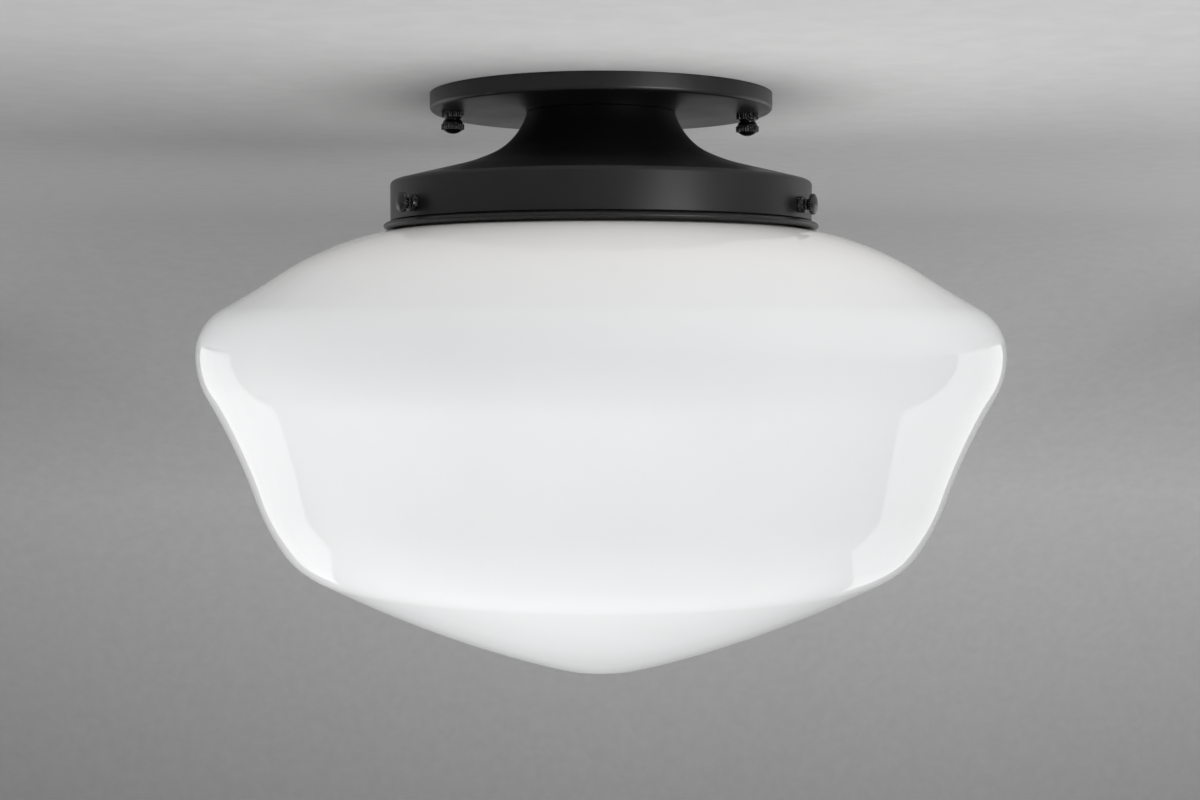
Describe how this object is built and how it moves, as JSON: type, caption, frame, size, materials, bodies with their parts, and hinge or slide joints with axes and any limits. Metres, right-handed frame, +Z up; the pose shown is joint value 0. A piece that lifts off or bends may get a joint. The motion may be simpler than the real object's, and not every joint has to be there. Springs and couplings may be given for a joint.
{
  "type": "semi flush ceiling light",
  "caption": "Semi flush ceiling light with a shallow round canopy, a spun trumpet holder with thumbscrews and a blown opal glass shade over a screw-base lampholder.",
  "frame": {"origin": "centre of the two box screw slots, on the mounting strap's top face in the ceiling plane", "axes": "+Z up into the ceiling, along the light's axis; +X towards the right canopy nut, along the mounting strap; +Y towards the rear thumbscrew"},
  "size_m": [0.303, 0.303, 0.2207],
  "materials": {
    "satin_black": "satin powder coat",
    "black_hardware": "gloss black lacquer",
    "zinc_steel": "bright zinc plate",
    "green_screw": "green dyed zinc",
    "brass_thread": "raw turned brass",
    "nickel_shell": "nickel plate",
    "porcelain": "glazed white porcelain",
    "opal_glass": "glossy opal white",
    "bulb_aluminium": "rolled aluminium",
    "bulb_insulator": "black vitrite",
    "bulb_white": "moulded white plastic",
    "bulb_diffuser": "frosted white plastic"
  },
  "bodies": {
    "ceiling_mount": {"mounting_strap": "zinc_steel", "canopy_stud_left": "zinc_steel", "canopy_stud_right": "zinc_steel", "ground_screw": "green_screw"},
    "fixture": {"canopy": "satin_black", "nipple": "zinc_steel", "canopy_lock_washer": "zinc_steel", "canopy_locknut": "brass_thread", "shade_holder": "satin_black", "socket_lock_washer": "zinc_steel", "socket_locknut": "brass_thread", "socket_bracket": "zinc_steel", "bracket_screws": "zinc_steel", "socket_body": "porcelain", "socket_screw_shell": "nickel_shell", "centre_contact": "brass_thread", "terminal_screw_hot": "brass_thread", "terminal_screw_neutral": "nickel_shell", "glass_globe": "opal_glass"},
    "canopy_nut_left": {"canopy_nut_left": "black_hardware"},
    "canopy_nut_right": {"canopy_nut_right": "black_hardware"},
    "thumbscrew_rear_shank": {"thumbscrew_rear_shank": "black_hardware"},
    "thumbscrew_rear_head": {"thumbscrew_rear_head": "black_hardware"},
    "thumbscrew_left_shank": {"thumbscrew_left_shank": "black_hardware"},
    "thumbscrew_left_head": {"thumbscrew_left_head": "black_hardware"},
    "thumbscrew_right_shank": {"thumbscrew_right_shank": "black_hardware"},
    "thumbscrew_right_head": {"thumbscrew_right_head": "black_hardware"},
    "bulb_base": {"bulb_contact": "nickel_shell", "bulb_insulator": "bulb_insulator"},
    "bulb": {"bulb_screw_shell": "bulb_aluminium", "bulb_housing": "bulb_white", "bulb_diffuser": "bulb_diffuser"}
  },
  "joints": [
    {"name": "fixture_drop", "type": "slide", "parent": "ceiling_mount", "child": "fixture", "axis": [0, 0, -1], "range_m": [0, 0.0063]},
    {"name": "canopy_nut_left_turn", "type": "hinge", "parent": "fixture", "child": "canopy_nut_left", "pos_m": [-0.05635, 0, 0], "axis": [0, 0, -1], "range_deg": [0, 2859.32]},
    {"name": "canopy_nut_right_turn", "type": "hinge", "parent": "fixture", "child": "canopy_nut_right", "pos_m": [0.05635, 0, 0], "axis": [0, 0, -1], "range_deg": [0, 2859.32]},
    {"name": "thumbscrew_rear_travel", "type": "slide", "parent": "fixture", "child": "thumbscrew_rear_shank", "axis": [0, 1, 0], "range_m": [0, 0.006]},
    {"name": "thumbscrew_rear_turn", "type": "hinge", "parent": "thumbscrew_rear_shank", "child": "thumbscrew_rear_head", "pos_m": [0, 0.08, -0.0436], "axis": [0, 1, 0], "range_deg": [0, 2723.26]},
    {"name": "thumbscrew_left_travel", "type": "slide", "parent": "fixture", "child": "thumbscrew_left_shank", "axis": [-0.866, -0.5, 0], "range_m": [0, 0.006]},
    {"name": "thumbscrew_left_turn", "type": "hinge", "parent": "thumbscrew_left_shank", "child": "thumbscrew_left_head", "pos_m": [-0.06928, -0.04, -0.0436], "axis": [-0.866, -0.5, 0], "range_deg": [0, 2723.26]},
    {"name": "thumbscrew_right_travel", "type": "slide", "parent": "fixture", "child": "thumbscrew_right_shank", "axis": [0.866, -0.5, 0], "range_m": [0, 0.006]},
    {"name": "thumbscrew_right_turn", "type": "hinge", "parent": "thumbscrew_right_shank", "child": "thumbscrew_right_head", "pos_m": [0.06928, -0.04, -0.0436], "axis": [0.866, -0.5, 0], "range_deg": [0, 2723.26]},
    {"name": "bulb_travel", "type": "slide", "parent": "fixture", "child": "bulb_base", "axis": [0, 0, -1], "range_m": [0, 0.01816]},
    {"name": "bulb_turn", "type": "hinge", "parent": "bulb_base", "child": "bulb", "pos_m": [0, 0, -0.06], "axis": [0, 0, -1], "range_deg": [0, 1800]}
  ],
  "couplings": [
    {"joint": "canopy_nut_left_turn", "follows": "fixture_drop", "rad_per_m": 7915.8},
    {"joint": "canopy_nut_right_turn", "follows": "fixture_drop", "rad_per_m": 7915.8},
    {"joint": "thumbscrew_rear_turn", "follows": "thumbscrew_rear_travel", "rad_per_m": 7915.8},
    {"joint": "thumbscrew_left_turn", "follows": "thumbscrew_left_travel", "rad_per_m": 7915.8},
    {"joint": "thumbscrew_right_turn", "follows": "thumbscrew_right_travel", "rad_per_m": 7915.8},
    {"joint": "bulb_travel", "follows": "bulb_turn", "m_per_rad": 0.00057751}
  ]
}
